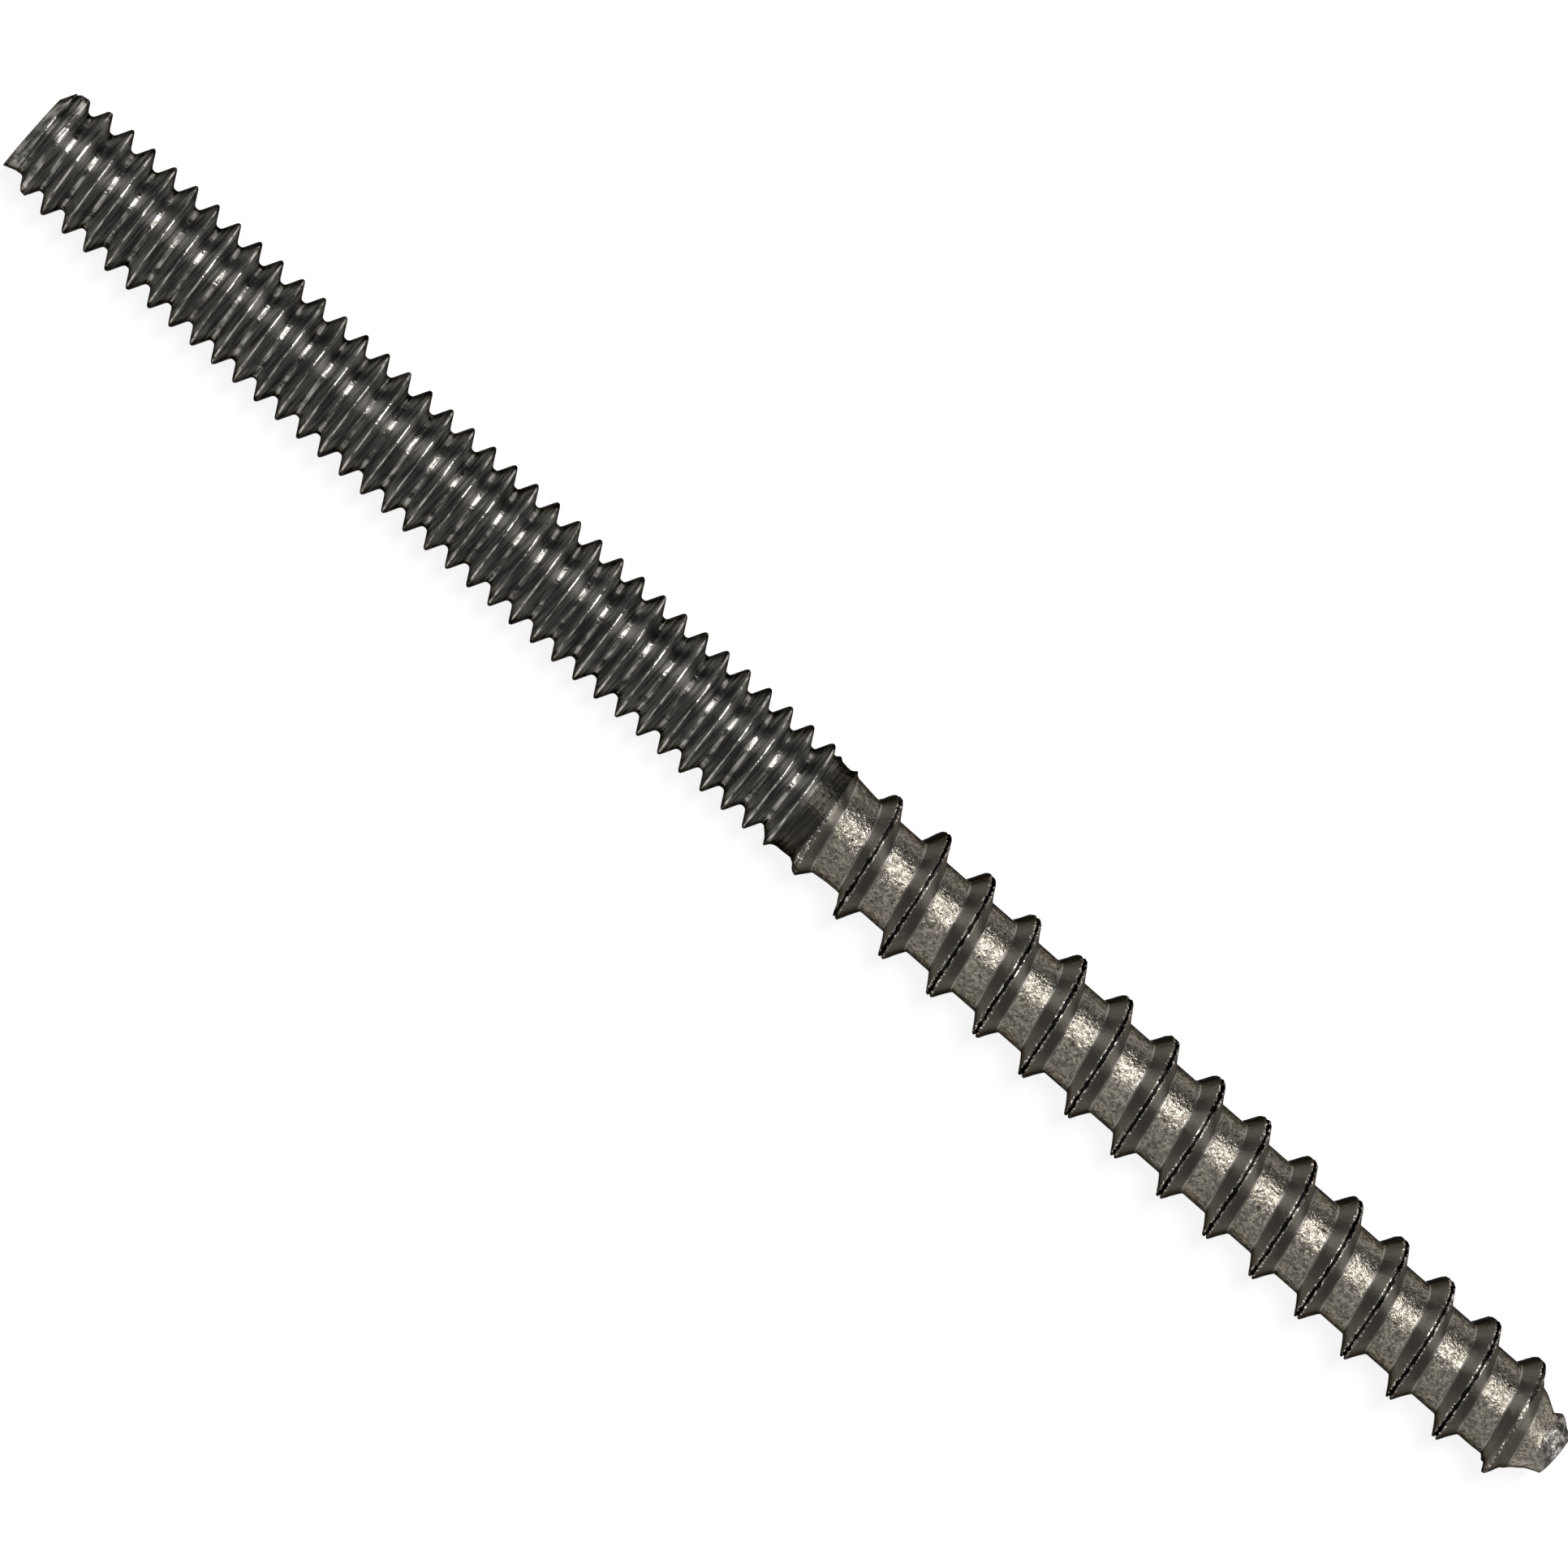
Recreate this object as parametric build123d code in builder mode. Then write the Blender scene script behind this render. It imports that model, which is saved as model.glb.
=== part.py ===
import os
from math import ceil, cos, radians, sin, tan

from build123d import *

# Hanger bolt, millimetres. It lies along X with its axis level, the machine end at -X and the lag tip
# at +X. Z = 0 is the surface that its tallest crest rests on. Places along the bolt are distances from
# the machine end. It is one rolled piece: a turned shank with the lag thread's ridge wound on it. The
# machine half is plain, at the crests of its fine thread.

# Whole bolt
overall_length = 75.9

# Machine half, with a tapered lead at the end face
machine_diameter = 4.66
machine_face_diameter = 3.66
machine_lead_length = 2.20
machine_end = 37.65

# Neck, what is left of the plain wire between the two threads
neck_diameter = 4.06
neck_start = 38.65
neck_end = 38.85

# Lag thread, right-handed, 11 threads per inch, with a swell two turns after the neck
lag_pitch = 2.309
lag_crest_diameter = 4.95
lag_swell = 0.175
lag_root_diameter = 3.54
lag_crest_flat = 0.30
lag_flank_angle = 30.0
lag_first_crest = 43.178
lag_root_place = 41.00
lag_swell_place = 43.25
lag_even_place = 46.70
ridge_sink = 0.12

# Blunt tip, on which the ridge fades out
tip_length = 2.05
tip_diameter = 1.80
fade_length = 2.60
fade_gap = 0.40

# Points on the changing stretches: shares of the way along and of the change in radius
lead_shares = ((0.14, 0.22), (0.36, 0.6))
runout_shares = ((0.57, 0.13),)
root_shares = ((0.47, 0.45),)
rise_shares = ((0.23, 0.6), (0.49, 0.75), (0.73, 0.95))
tip_shares = ((0.17, 0.17), (0.71, 0.7))
fade_shares = ((0.25, 0.05), (0.4, 0.09), (0.75, 0.6))
swell_flat_share = 0.33
steps_per_piece = 4

crest_radius = lag_crest_diameter / 2
axis_height = crest_radius + lag_swell
end_x = -overall_length / 2
bolt_axis = Axis((0, 0, axis_height), (1, 0, 0))
flank_slope = tan(radians(lag_flank_angle))


def blend(low, high, share):
    """Value at a share of the way from low to high."""
    return low + share * (high - low)


def stretch(near, far, shares):
    """Points of an outline from just after one point up to and with another."""
    return [tuple(blend(low, high, share) for low, high, share in zip(near, far, pair)) for pair in shares] + [far]


def radius_at(outline, place):
    """Radius of an outline at a place along the bolt."""
    for (start, low), (stop, high) in zip(outline, outline[1:]):
        if place <= stop:
            return blend(low, high, max(0, (place - start) / (stop - start)))
    return outline[-1][1]


# Shank's outline: place along the bolt, radius
machine_face = (0, machine_face_diameter / 2)
machine_full = (machine_lead_length, machine_diameter / 2)
machine_last = (machine_end, machine_diameter / 2)
neck_first = (neck_start, neck_diameter / 2)
neck_last = (neck_end, neck_diameter / 2)
root_first = (lag_root_place, lag_root_diameter / 2)
root_last = (overall_length - tip_length, lag_root_diameter / 2)
tip_end = (overall_length, tip_diameter / 2)
shank_outline = [
    machine_face,
    *stretch(machine_face, machine_full, lead_shares),
    *stretch(machine_last, neck_first, ((0, 0), *runout_shares)),
    *stretch(neck_last, root_first, ((0, 0), *root_shares)),
    *stretch(root_last, tip_end, ((0, 0), *tip_shares)),
]

# Outline of the lag ridge's crest, sunk in the shank at both its ends
fade_end = overall_length - fade_gap
ridge_start = (neck_end, neck_diameter / 2 - ridge_sink)
swell = (lag_swell_place, crest_radius + lag_swell)
even_first = (lag_even_place, crest_radius)
even_last = (overall_length - fade_length, crest_radius)
ridge_end = (fade_end, radius_at(shank_outline, fade_end) - ridge_sink)
crest_outline = [
    ridge_start,
    *stretch(ridge_start, swell, rise_shares),
    even_first,
    *stretch(even_last, ridge_end, ((0, 0), *fade_shares)),
]


def ridge_corners(place):
    """Corners of the ridge's section: offset along the bolt, radius."""
    crest = radius_at(crest_outline, place)
    top = lag_crest_flat / 2 * blend(1, swell_flat_share, max(0, crest - crest_radius) / lag_swell)
    reach = top + (crest - radius_at(shank_outline, place) + ridge_sink) * flank_slope
    base = min([crest] + [radius_at(shank_outline, place + side * reach) for side in (-1, 0, 1)]) - ridge_sink
    foot = top + (crest - base) * flank_slope
    return [(-top, crest), (top, crest), (foot, base), (-foot, base)]


def ridge_turn(place):
    """Angle of the ridge about the axis, in degrees from +Y towards +Z."""
    return 360 * (place - lag_first_crest) / lag_pitch


# Ridge in pieces of up to a turn, end to end along the thread
piece_count = ceil((ridge_end[0] - ridge_start[0]) / lag_pitch)
piece_length = (ridge_end[0] - ridge_start[0]) / piece_count
ridge_pieces = []
for piece in range(piece_count):
    piece_start = ridge_start[0] + piece * piece_length
    with BuildPart() as ridge:
        for step in range(steps_per_piece + 1):
            place = piece_start + piece_length * step / steps_per_piece
            turn = radians(ridge_turn(place))
            with BuildSketch(Plane((end_x + place, 0, axis_height), (1, 0, 0), (0, -sin(turn), cos(turn)))):
                with BuildLine():
                    Polyline(*ridge_corners(place), close=True)
                make_face()
        with BuildLine():
            helix = Helix(
                pitch=lag_pitch,
                height=piece_length,
                radius=crest_radius,
                center=(end_x + piece_start, 0, axis_height),
                direction=(1, 0, 0),
                mode=Mode.PRIVATE,
            )
            add(helix.rotate(bolt_axis, ridge_turn(piece_start) - 90))
        sweep(multisection=True, is_frenet=True, clean=False)
    ridge_pieces.append(ridge.part)

with BuildPart() as hanger_bolt:
    with BuildSketch(Plane((end_x, 0, axis_height), (1, 0, 0), (0, -1, 0))):
        with BuildLine():
            Polyline((0, 0), *shank_outline, (overall_length, 0), close=True)
        make_face()
    revolve(axis=bolt_axis)
    add(ridge_pieces, clean=False)

os.makedirs("parts", exist_ok=True)
hanger_bolt.part.label = "hanger_bolt"
export_step(hanger_bolt.part, "parts/hanger_bolt.step")
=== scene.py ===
from collections import namedtuple
from math import atan2, cos, hypot, pi, radians, sin

import bmesh
import bpy
from mathutils import Matrix, Vector, noise


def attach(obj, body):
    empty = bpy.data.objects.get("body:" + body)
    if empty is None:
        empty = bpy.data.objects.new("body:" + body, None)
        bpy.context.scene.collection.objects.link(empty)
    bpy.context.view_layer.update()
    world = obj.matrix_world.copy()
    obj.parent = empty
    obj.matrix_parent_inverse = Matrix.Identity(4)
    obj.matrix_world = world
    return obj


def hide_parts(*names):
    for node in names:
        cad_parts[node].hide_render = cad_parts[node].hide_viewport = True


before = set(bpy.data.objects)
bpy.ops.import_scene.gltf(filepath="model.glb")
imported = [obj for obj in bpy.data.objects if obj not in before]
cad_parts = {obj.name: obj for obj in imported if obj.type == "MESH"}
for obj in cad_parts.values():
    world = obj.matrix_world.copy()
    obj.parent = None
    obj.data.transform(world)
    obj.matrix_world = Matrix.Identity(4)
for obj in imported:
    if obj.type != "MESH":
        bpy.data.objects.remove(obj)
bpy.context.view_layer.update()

# Hanger bolt, sizes in millimetres until the finished mesh is brought to metres. Places along the bolt
# are distances from the machine end, and angles about its axis run from +Y towards +Z.
mm = 0.001
bolt_length = 75.9
axis_height = 2.65
same_point = 0.0005

# Spare turns of a thread, wound past its ends and then cut off
turns_before = 3
turns_after = 2

# Half of each thread's outline, from the root to the crest: share of the pitch, share of the height
crest_share = 0.5
machine_pitch = 1.0583
machine_first_crest = 0.703
machine_steps = 64
machine_middle = 1.0
machine_half = (
    (0.0, 0.0),
    (0.06, 0.01),
    (0.11, 0.045),
    (0.155, 0.125),
    (0.2, 0.25),
    (0.3, 0.555),
    (0.4, 0.86),
    (0.44, 0.955),
    (0.47, 0.992),
)

lag_pitch = 2.309
lag_first_crest = 43.178
lag_steps = 84
lag_seam = 0.84
lag_half = (
    (0.0, 0.0),
    (0.05, 0.0),
    (0.10, 0.0),
    (0.15, 0.0),
    (0.20, 0.0),
    (0.235, 0.006),
    (0.256, 0.035),
    (0.275, 0.10),
    (0.32, 0.31),
    (0.37, 0.56),
    (0.41, 0.79),
    (0.43, 0.91),
    (0.441, 0.975),
    (0.452, 0.997),
    (0.468, 1.0),
    (0.481, 0.975),
    (0.489, 0.90),
)

# Stations along the bolt: place, crest radius, root radius
machine_stations = (
    (0.0, 1.83, 1.38),
    (0.31, 2.0, 1.69),
    (0.79, 2.09, 1.69),
    (1.2, 2.2, 1.69),
    (2.2, 2.33, 1.69),
    (37.2, 2.33, 1.69),
    (37.75, 2.33, 1.72),
    (38.02, 2.33, 1.99),
    (38.25, 2.29, 2.16),
    (38.4, 2.08, 2.04),
    (38.66, 2.0, 2.0),
)
lag_stations = (
    (38.86, 2.0, 2.0),
    (39.2, 2.13, 1.98),
    (39.85, 2.39, 1.90),
    (41.0, 2.48, 1.785),
    (42.05, 2.614, 1.77),
    (43.25, 2.644, 1.77),
    (46.7, 2.475, 1.77),
    (73.3, 2.475, 1.77),
    (73.87, 2.40, 1.73),
    (74.2, 2.36, 1.62),
    (74.85, 1.75, 1.235),
    (75.0, 1.50, 1.29),
    (75.12, 1.45, 1.43),
    (75.3, 1.36, 1.35),
    (75.9, 0.92, 0.92),
)

# A place at which the machine thread is full
machine_full = 20.0

# The tip's root on the side where it broke away without a burr: place, radius
tip_stations = (
    (74.2, 1.62),
    (74.85, 1.46),
    (75.12, 1.27),
    (75.37, 1.06),
    (75.8, 0.88),
    (75.9, 0.85),
)

# End face: a bevel on one side, and on the other the flattened start of the thread
bevel_face = 1.39
bevel_rise = 1.81
bevel_reach = 0.40
flat_face = 1.88
flat_fall = 0.34
flat_reach = 0.61
face_step = 0.08

# Neck, whose edge on the lag side leans with the thread and has a low bump on one side
neck_near = 38.27
neck_far = 39.07
neck_lean = 0.30
neck_bump = 0.15
neck_bump_reach = 0.16
neck_soft = 0.05

# Lag crest: the first turns lean, then a seam between two lips, and a sharp last turn
lean_start = 41.8
lean_stop = 45.0
lean_share = 0.35
seam_half = 0.075
seam_start = 41.5
seam_stop = 73.2
seam_fade = 1.2
sharp_start = 72.9
sharp_stop = 74.0
sharp_drop = 0.2
lip_foot = 0.5
lip_drop = 0.10
lip_reach = 0.22
worn_height = 0.8
lip_wear = 0.035
wear_per_mm = 5
wear_middle = 0.5

# Stretches with a finish of their own: the cut face, the tip's cone and its broken end
cut_reach = 0.04
cone_start = 73.9
cone_full = 74.4
broken_start = 75.02
broken_full = 75.12
broken_least = 0.3
broken_low_side = 0.2
broken_full_side = 0.6

Spot = namedtuple("Spot", "place angle height offset")


def blend(low, high, share):
    """Value at a share of the way from low to high."""
    return low + share * (high - low)


def step_between(value, low, high):
    """Smooth step from 0 to 1 as a value passes from low to high."""
    share = min(max((value - low) / (high - low), 0), 1)
    return share * share * (3 - 2 * share)


def station_at(stations, place):
    """Values of a table at a place."""
    for (start, *low), (stop, *high) in zip(stations, stations[1:]):
        if place <= stop:
            share = max(0, (place - start) / (stop - start))
            return [blend(a, b, share) for a, b in zip(low, high)]
    return stations[-1][1:]


def side_share(angle):
    """1 on the bolt's +Y side, 0 on its -Y side."""
    return (1 + cos(angle)) / 2


def wind_thread(half, middle, pitch, first_crest, steps, near, far):
    """One pitch of outline wound along the bolt on a unit height of thread, cut square at both ends."""
    shape = bmesh.new()
    whole = [*half, (crest_share, middle), *[(1 - along, up) for along, up in reversed(half)]]
    start = first_crest - crest_share * pitch
    start -= pitch * (int((start - near) / pitch) + turns_before)
    outline = [shape.verts.new((start + along * pitch, 1 + up, 0)) for along, up in whole]
    joins = [shape.edges.new(pair) for pair in zip(outline, outline[1:])]
    bmesh.ops.spin(
        shape,
        geom=outline + joins,
        cent=(0, 0, 0),
        axis=(1, 0, 0),
        dvec=(pitch / steps, 0, 0),
        angle=2 * pi,
        steps=steps,
    )
    one_turn = shape.verts[:] + shape.edges[:] + shape.faces[:]
    for turn in range(1, int((far - start) / pitch) + turns_after):
        next_turn = bmesh.ops.duplicate(shape, geom=one_turn)["geom"]
        moved = [item for item in next_turn if isinstance(item, bmesh.types.BMVert)]
        bmesh.ops.translate(shape, verts=moved, vec=(turn * pitch, 0, 0))
    bmesh.ops.remove_doubles(shape, verts=shape.verts, dist=same_point)
    for place, side in ((near, -1), (far, 1)):
        bmesh.ops.bisect_plane(
            shape,
            geom=shape.verts[:] + shape.edges[:] + shape.faces[:],
            plane_co=(place, 0, 0),
            plane_no=(side, 0, 0),
            clear_outer=True,
        )
    return shape


def machine_radius(spot):
    """Radius and height of a point of the machine half, with the cut start of its thread."""
    full_crest, full_root = station_at(machine_stations, machine_full)
    crest, root = station_at(machine_stations, spot.place)
    full = blend(full_root, full_crest, spot.height)
    radius = min(max(full, root), crest)
    side = side_share(spot.angle)
    bevel = min(bevel_face + bevel_rise * spot.place, crest)
    face = blend(flat_face - flat_fall * spot.place, bevel, side)
    reach = blend(flat_reach, bevel_reach, side)
    # A crest that the lead cuts off keeps a crest's finish, and the ring at the face has a root's
    height = 1 if full > crest else spot.height
    if spot.place < reach:
        height = 0
    return blend(face, radius, step_between(spot.place, reach - face_step, reach)), height


def neck_edge(angle):
    """Place of the neck's edge on the lag side."""
    return neck_far + neck_lean * (1 - side_share(angle))


def seam_depth(place):
    """How deep the lag crest's seam is, as a share, at a place."""
    opening = step_between(place, seam_start - seam_fade, seam_start)
    return opening * step_between(place, seam_stop + seam_fade / 2, seam_stop)


def lag_height(spot):
    """Height of a point of the lag thread, with its lean first turns, seam and sharp last turn."""
    height = spot.height
    lean = step_between(spot.place, lean_stop, lean_start)
    if spot.offset < -seam_half:
        along = crest_share + spot.offset * (1 + lean_share * lean) / lag_pitch
        height = station_at(lag_half, max(along, 0))[0]
    if abs(spot.offset) < seam_half:
        height = blend(1, height, seam_depth(spot.place))
    if height > lip_foot:
        sharp = step_between(spot.place, sharp_start, sharp_stop)
        height -= lip_drop * lean * step_between(spot.offset, 0, -lip_reach)
        height -= sharp_drop * sharp * min(abs(spot.offset) / lip_reach, 1)
    return height


def lag_radius(spot):
    """Radius and height of a point of the lag half, with its neck's bump, worn lips and broken tip."""
    crest, root = station_at(lag_stations, spot.place)
    side = side_share(spot.angle)
    if spot.place > tip_stations[0][0]:
        root = blend(station_at(tip_stations, spot.place)[0], root, side)
    off_edge = abs(spot.place - neck_edge(spot.angle)) / neck_bump_reach
    root += neck_bump * side * step_between(off_edge, 1, 0)
    height = lag_height(spot)
    radius = blend(root, max(crest, root), height)
    if height > worn_height:
        point = Vector((spot.place, crest * cos(spot.angle), crest * sin(spot.angle)))
        radius -= lip_wear * (wear_middle + noise.noise(point * wear_per_mm))
    return radius, height


def finish_marks(spot, height, lag):
    """What the steel at a point looks like, as shares, with its height on the thread."""
    far_edge = neck_edge(spot.angle)
    in_neck = step_between(spot.place, neck_near - neck_soft, neck_near + neck_soft)
    torn = step_between(side_share(spot.angle), broken_low_side, broken_full_side)
    return {
        "height": height,
        "crest_offset": spot.offset,
        "lag": lag,
        # Share of the lag crest where the seam is painted black as shade
        "seam_shade": lag * seam_depth(spot.place),
        "neck": in_neck * step_between(spot.place, far_edge + neck_soft, far_edge - neck_soft),
        "cut": step_between(spot.place, cut_reach, 0),
        "cone": step_between(spot.place, cone_start, cone_full),
        "broken": step_between(spot.place, broken_start, broken_full) * blend(broken_least, 1, torn),
    }


def roll_to_size(shape, radius_of, pitch, first_crest, lag):
    """Gives each point of a wound thread its radius and its marks."""
    names = finish_marks(Spot(0, 0, 0, 0), 0, 0)
    layers = {name: shape.verts.layers.float.new(name) for name in names}
    for vert in shape.verts:
        place, across, up = vert.co
        angle = atan2(up, across)
        phase = (place - first_crest) / pitch - angle / (2 * pi)
        spot = Spot(place, angle, hypot(across, up) - 1, (phase - round(phase)) * pitch)
        radius, height = radius_of(spot)
        vert.co = (place, radius * cos(angle), radius * sin(angle))
        for name, value in finish_marks(spot, height, lag).items():
            vert[layers[name]] = value


# Bolt's mesh: the two wound halves, joined at the neck and closed at both ends
machine_end = machine_stations[-1][0]
lag_start = lag_stations[0][0]
bolt_shape = wind_thread(
    machine_half, machine_middle, machine_pitch, machine_first_crest, machine_steps, 0, machine_end
)
roll_to_size(bolt_shape, machine_radius, machine_pitch, machine_first_crest, 0)
lag_shape = wind_thread(lag_half, lag_seam, lag_pitch, lag_first_crest, lag_steps, lag_start, bolt_length)
roll_to_size(lag_shape, lag_radius, lag_pitch, lag_first_crest, 1)

bolt_mesh = bpy.data.meshes.new("hanger_bolt_rolled")
lag_shape.to_mesh(bolt_mesh)
lag_shape.free()
bolt_shape.from_mesh(bolt_mesh)


def open_loop(place):
    """Open edges of the bolt's mesh in the plane at a place."""
    return [
        edge
        for edge in bolt_shape.edges
        if edge.is_boundary and all(abs(vert.co.x - place) < same_point for vert in edge.verts)
    ]


bmesh.ops.bridge_loops(bolt_shape, edges=open_loop(machine_end) + open_loop(lag_start))
for end in (0, bolt_length):
    bmesh.ops.holes_fill(bolt_shape, edges=open_loop(end), sides=0)
bmesh.ops.translate(bolt_shape, verts=bolt_shape.verts, vec=(-bolt_length / 2, 0, axis_height))
bmesh.ops.scale(bolt_shape, verts=bolt_shape.verts, vec=(mm, mm, mm))
bmesh.ops.recalc_face_normals(bolt_shape, faces=bolt_shape.faces)
# Faces with more corners than this, such as the two ends, stay flat
smooth_corners = 4
for face in bolt_shape.faces:
    face.smooth = len(face.verts) <= smooth_corners
bolt_shape.to_mesh(bolt_mesh)
bolt_shape.free()
bolt = bpy.data.objects.new("hanger_bolt_rolled", bolt_mesh)
bpy.context.collection.objects.link(bolt)


def fill(node, values):
    """Sets a node's inputs: links sockets, and writes numbers and colours."""
    for key, value in values.items():
        if isinstance(value, bpy.types.NodeSocket):
            node.id_data.links.new(value, node.inputs[key])
        else:
            node.inputs[key].default_value = value


def maths(operation, first, second):
    """Two values added, multiplied or otherwise joined."""
    node = first.id_data.nodes.new("ShaderNodeMath")
    node.operation = operation
    fill(node, {0: first, 1: second})
    return node.outputs["Value"]


def ramp(value, low, high, start=0.0, stop=1.0):
    """A smooth step of a value from one level to another."""
    node = value.id_data.nodes.new("ShaderNodeMapRange")
    node.interpolation_type = "SMOOTHSTEP"
    fill(node, {"Value": value, "From Min": low, "From Max": high, "To Min": start, "To Max": stop})
    return node.outputs["Result"]


def mix_value(share, first, second):
    """A number between two others."""
    node = share.id_data.nodes.new("ShaderNodeMix")
    fill(node, {0: share, 2: first, 3: second})
    return node.outputs[0]


def mix_colour(share, first, second):
    """A colour between two others."""
    node = share.id_data.nodes.new("ShaderNodeMix")
    node.data_type = "RGBA"
    fill(node, {0: share, 6: first, 7: second})
    return node.outputs[2]


# Steel, made of finishes laid over each other
steel = bpy.data.materials.new("dark_rolled_steel")
steel.use_nodes = True
steel_nodes = steel.node_tree.nodes
machine_tint = (1, 0.945, 0.865)
lag_tint = (1, 0.905, 0.76)
bump_depth = 0.0001
mottle_share = 0.6
grain_detail = 3
grain_roughness = 0.6
Finish = namedtuple("Finish", "colour metallic roughness relief")


def mark(name):
    """One of the marks on the bolt's points."""
    node = steel_nodes.new("ShaderNodeAttribute")
    node.attribute_name = name
    return node.outputs["Fac"]


def grain(per_metre, stretch=(1, 1, 1)):
    """Cloudy noise on the bolt, finer along an axis with a larger stretch."""
    place = steel_nodes.new("ShaderNodeTexCoord")
    mapping = steel_nodes.new("ShaderNodeMapping")
    fill(mapping, {"Vector": place.outputs["Object"], "Scale": stretch})
    node = steel_nodes.new("ShaderNodeTexNoise")
    fill(node, {"Vector": mapping.outputs["Vector"], "Scale": per_metre})
    fill(node, {"Detail": grain_detail, "Roughness": grain_roughness})
    return node.outputs["Fac"]


def tone(level, tint):
    """Colour of a tint at a level of brightness."""
    return (*[level * part for part in tint], 1)


def shade(share, dark, light, tint):
    """Colour between a dark and a light level of a tint."""
    return mix_colour(share, tone(dark, tint), tone(light, tint))


def times(value, factor):
    """A value made larger or smaller."""
    return maths("MULTIPLY", value, factor)


def layer(share, below, above):
    """One finish over another."""
    return Finish(
        colour=mix_colour(share, below.colour, above.colour),
        metallic=mix_value(share, below.metallic, above.metallic),
        roughness=mix_value(share, below.roughness, above.roughness),
        relief=mix_value(share, below.relief, above.relief),
    )


height = mark("height")
die_lines = grain(9000, (1, 0.06, 0.06))
fine_grain = grain(9000)
speckle = grain(6000)
coarse_grain = grain(3500)
mottle = grain(1500)

# Heights on the thread between which a finish begins
machine_root_edge = (0.03, 0.005)
machine_crest_edge = (0.97, 0.995)
lag_flank_edge = (0.02, 0.06)
foot_near_edge = (0.002, 0.015)
foot_far_edge = (0.09, 0.04)
lip_edge = (0.9, 0.97)
seam_edge = (0.7, 0.8)

# Levels of the noise between which a finish turns from dark to light, or a spot begins
rub_edge = (0.85, 1.15)
gloss_edge = (0.3, 0.7)
streak_edge = (0.38, 0.62)
wide_edge = (0.35, 0.65)
cone_edge = (0.4, 0.6)
torn_edge = (0.38, 0.64)
pit_edge = (0.42, 0.34)
dot_edge = (0.55, 0.6)

# Half width of the seam's painted black shade where it is narrow and wide, and of its soft edge, in
# millimetres
seam_narrow = 0.025
seam_wide = 0.105
seam_soft = 0.015


def machine_finish():
    """Flanks with die lines, rubbed crests and roots, and the sheared end face."""
    rubbed = ramp(maths("ADD", die_lines, mottle), *rub_edge)
    flank = Finish(
        colour=shade(ramp(die_lines, *streak_edge), 0.07, 0.2, machine_tint),
        metallic=1.0,
        roughness=0.5,
        relief=times(die_lines, 0.15),
    )
    root = Finish(
        colour=shade(rubbed, 0.06, 0.32, machine_tint),
        metallic=1.0,
        roughness=ramp(die_lines, *gloss_edge, start=0.36, stop=0.26),
        relief=times(die_lines, 0.3),
    )
    crest = root._replace(colour=shade(rubbed, 0.12, 0.55, machine_tint))
    sheared = Finish(
        colour=shade(ramp(fine_grain, *wide_edge), 0.09, 0.2, machine_tint),
        metallic=1.0,
        roughness=0.45,
        relief=times(fine_grain, 0.4),
    )
    finish = layer(ramp(height, *machine_root_edge), flank, root)
    finish = layer(ramp(height, *machine_crest_edge), finish, crest)
    return layer(mark("cut"), finish, sheared)


def lag_finish():
    """Grainy roots, a brighter cone at the tip, smooth flanks, bright spots on the lips, and the crest's
    seam painted black as shade.
    """
    grainy = shade(ramp(speckle, *streak_edge), 0.145, 0.26, lag_tint)
    root = Finish(
        colour=mix_colour(ramp(fine_grain, *pit_edge), grainy, tone(0.05, lag_tint)),
        metallic=0.95,
        roughness=ramp(speckle, *streak_edge, start=0.36, stop=0.2),
        relief=maths("ADD", times(fine_grain, 0.34), times(coarse_grain, 0.2)),
    )
    cone = root._replace(colour=shade(ramp(fine_grain, *cone_edge), 0.2, 0.5, lag_tint), roughness=0.45)
    flank = Finish(colour=tone(0.155, lag_tint), metallic=1.0, roughness=0.5, relief=times(die_lines, 0.1))
    foot = flank._replace(colour=tone(0.3, machine_tint), roughness=0.4)
    lip = flank._replace(colour=tone(0.75, machine_tint), roughness=0.25)
    # Painted shade: the seam's near-black colour stands for the dark inside the fold of the crest
    seam_shade = flank._replace(colour=tone(0.012, machine_tint))

    foot_line = maths("MULTIPLY", ramp(height, *foot_near_edge), ramp(height, *foot_far_edge))
    lip_spots = maths("MULTIPLY", ramp(height, *lip_edge), ramp(fine_grain, *dot_edge))
    seam_width = ramp(coarse_grain, *wide_edge, start=seam_narrow, stop=seam_wide)
    off_seam = maths("SUBTRACT", maths("ABSOLUTE", mark("crest_offset"), 0.0), seam_width)
    # Where along the crest the seam's painted black shade lies
    in_seam_shade = maths("MULTIPLY", ramp(off_seam, seam_soft, -seam_soft), ramp(height, *seam_edge))

    finish = layer(mark("cone"), root, cone)
    finish = layer(ramp(height, *lag_flank_edge), finish, flank)
    finish = layer(foot_line, finish, foot)
    finish = layer(lip_spots, finish, lip)
    return layer(maths("MULTIPLY", in_seam_shade, mark("seam_shade")), finish, seam_shade)


def neck_finish():
    """Dark drawn wire."""
    return Finish(
        colour=shade(ramp(die_lines, *wide_edge), 0.04, 0.1, lag_tint),
        metallic=1.0,
        roughness=0.55,
        relief=maths("ADD", times(die_lines, 0.15), times(coarse_grain, 0.5)),
    )


def broken_finish():
    """Torn steel with bright facets."""
    return Finish(
        colour=shade(ramp(coarse_grain, *torn_edge), 0.1, 0.6, machine_tint),
        metallic=1.0,
        roughness=0.4,
        relief=times(coarse_grain, 2.0),
    )


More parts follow.
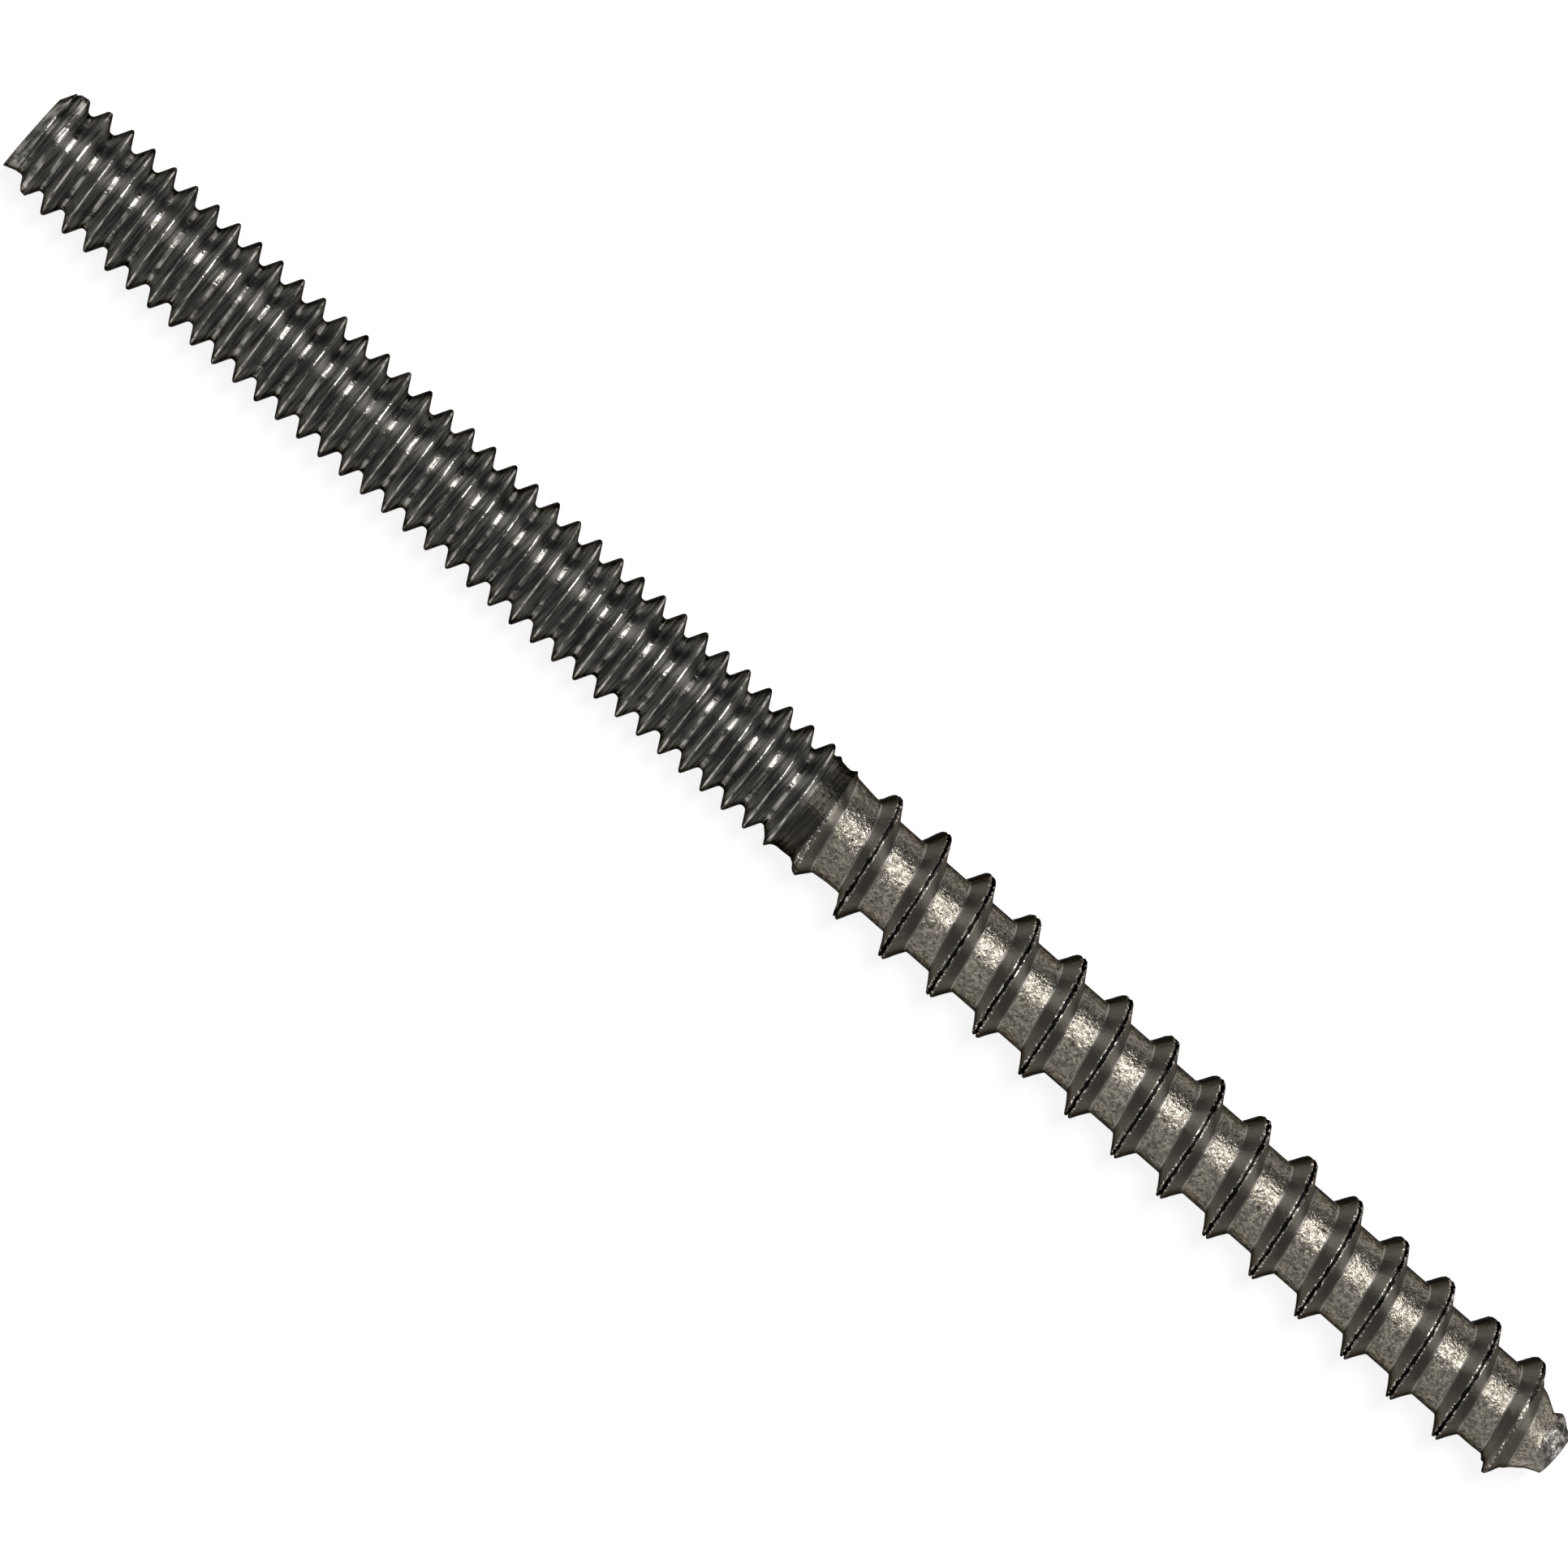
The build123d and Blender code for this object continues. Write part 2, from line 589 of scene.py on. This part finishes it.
finish = layer(mark("lag"), machine_finish(), lag_finish())
finish = layer(mark("neck"), finish, neck_finish())
finish = layer(mark("broken"), finish, broken_finish())
bump = steel_nodes.new("ShaderNodeBump")
uneven = maths("ADD", finish.relief, times(mottle, mottle_share))
fill(bump, {"Height": uneven, "Strength": 1.0, "Distance": bump_depth})
around_bolt = steel_nodes.new("ShaderNodeTangent")
around_bolt.direction_type = "RADIAL"
around_bolt.axis = "X"
fill(
    steel_nodes["Principled BSDF"],
    {
        "Base Color": finish.colour,
        "Metallic": finish.metallic,
        "Roughness": finish.roughness,
        "Normal": bump.outputs["Normal"],
        "Tangent": around_bolt.outputs["Tangent"],
        "Anisotropic": 0.9,
        "Anisotropic Rotation": 0.25,
        "Specular IOR Level": 0.0,
        "Specular Tint": (0.0, 0.0, 0.0, 1),
    },
)
bolt_mesh.materials.append(steel)
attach(bolt, "root")
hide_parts("hanger_bolt")

# Floor, in metres: what the camera and the steel see of it glows, and its matte part keeps the shadow
floor_size = 3
floor_matte = 0.25
floor_glow = 0.82
bpy.ops.mesh.primitive_plane_add(size=floor_size)
floor = bpy.context.object
floor.name = "floor"
paper = bpy.data.materials.new("white_paper")
paper.use_nodes = True
paper_nodes = paper.node_tree.nodes
paper_nodes.clear()
path = paper_nodes.new("ShaderNodeLightPath")
seen = maths("MAXIMUM", path.outputs["Is Camera Ray"], path.outputs["Is Glossy Ray"])
seen = maths("MAXIMUM", seen, path.outputs["Is Transmission Ray"])
matte = paper_nodes.new("ShaderNodeBsdfDiffuse")
fill(matte, {"Color": (floor_matte, floor_matte, floor_matte, 1)})
glow = paper_nodes.new("ShaderNodeEmission")
fill(glow, {"Strength": times(seen, floor_glow)})
both = paper_nodes.new("ShaderNodeAddShader")
fill(both, {0: matte.outputs["BSDF"], 1: glow.outputs["Emission"]})
fill(paper_nodes.new("ShaderNodeOutputMaterial"), {"Surface": both.outputs["Shader"]})
floor.data.materials.append(paper)

# Light: a weak white world and two soft boxes, which tilt from straight up towards +Y, in metres and watts
world_level = 0.1
lamps = {
    "key_lamp": {"tilt": radians(24), "distance": 0.7, "length": 0.16, "width": 0.45, "watts": 5.8},
    "fill_lamp": {"tilt": radians(-42), "distance": 0.7, "length": 0.6, "width": 0.9, "watts": 2.1},
}


def add_lamp(name, tilt, distance, length, width, watts):
    """Soft box that faces the bolt's middle, its length along the bolt."""
    data = bpy.data.lights.new(name, "AREA")
    data.shape = "RECTANGLE"
    data.size = length
    data.size_y = width
    data.energy = watts
    lamp = bpy.data.objects.new(name, data)
    away = Vector((0, sin(tilt), cos(tilt)))
    lamp.location = away * distance + Vector((0, 0, axis_height * mm))
    lamp.rotation_mode = "QUATERNION"
    lamp.rotation_quaternion = away.to_track_quat("Z", "Y")
    lamp.visible_camera = False
    bpy.context.collection.objects.link(lamp)


for lamp_name, lamp_values in lamps.items():
    add_lamp(lamp_name, **lamp_values)
world = bpy.data.worlds.new("studio")
world.use_nodes = True
fill(world.node_tree.nodes["Background"], {"Color": (1, 1, 1, 1), "Strength": world_level})
bpy.context.scene.world = world

# Camera, above the machine half and tilted towards the middle
image_pixels = 1932
pixels_per_mm = 32.79
bolt_slope = radians(41.16)
camera_height = 480.0
camera_foot = -26.0
aim = Vector((-0.65, -0.05, axis_height))
eye = Vector((camera_foot, 0, axis_height + camera_height))
camera_data = bpy.data.cameras.new("camera")
camera_data.lens = pixels_per_mm * (aim - eye).length / image_pixels * camera_data.sensor_width
camera_data.clip_start = 0.01
camera_data.clip_end = 10
camera = bpy.data.objects.new("camera", camera_data)
back = (eye - aim).normalized()
level_right = Vector((cos(bolt_slope), sin(bolt_slope), 0))
up = back.cross(level_right).normalized()
turn = Matrix((up.cross(back), up, back)).transposed()
camera.matrix_world = Matrix.Translation(eye * mm) @ turn.to_4x4()
bpy.context.collection.objects.link(camera)
bpy.context.scene.camera = camera
bpy.context.scene.view_settings.view_transform = "Standard"
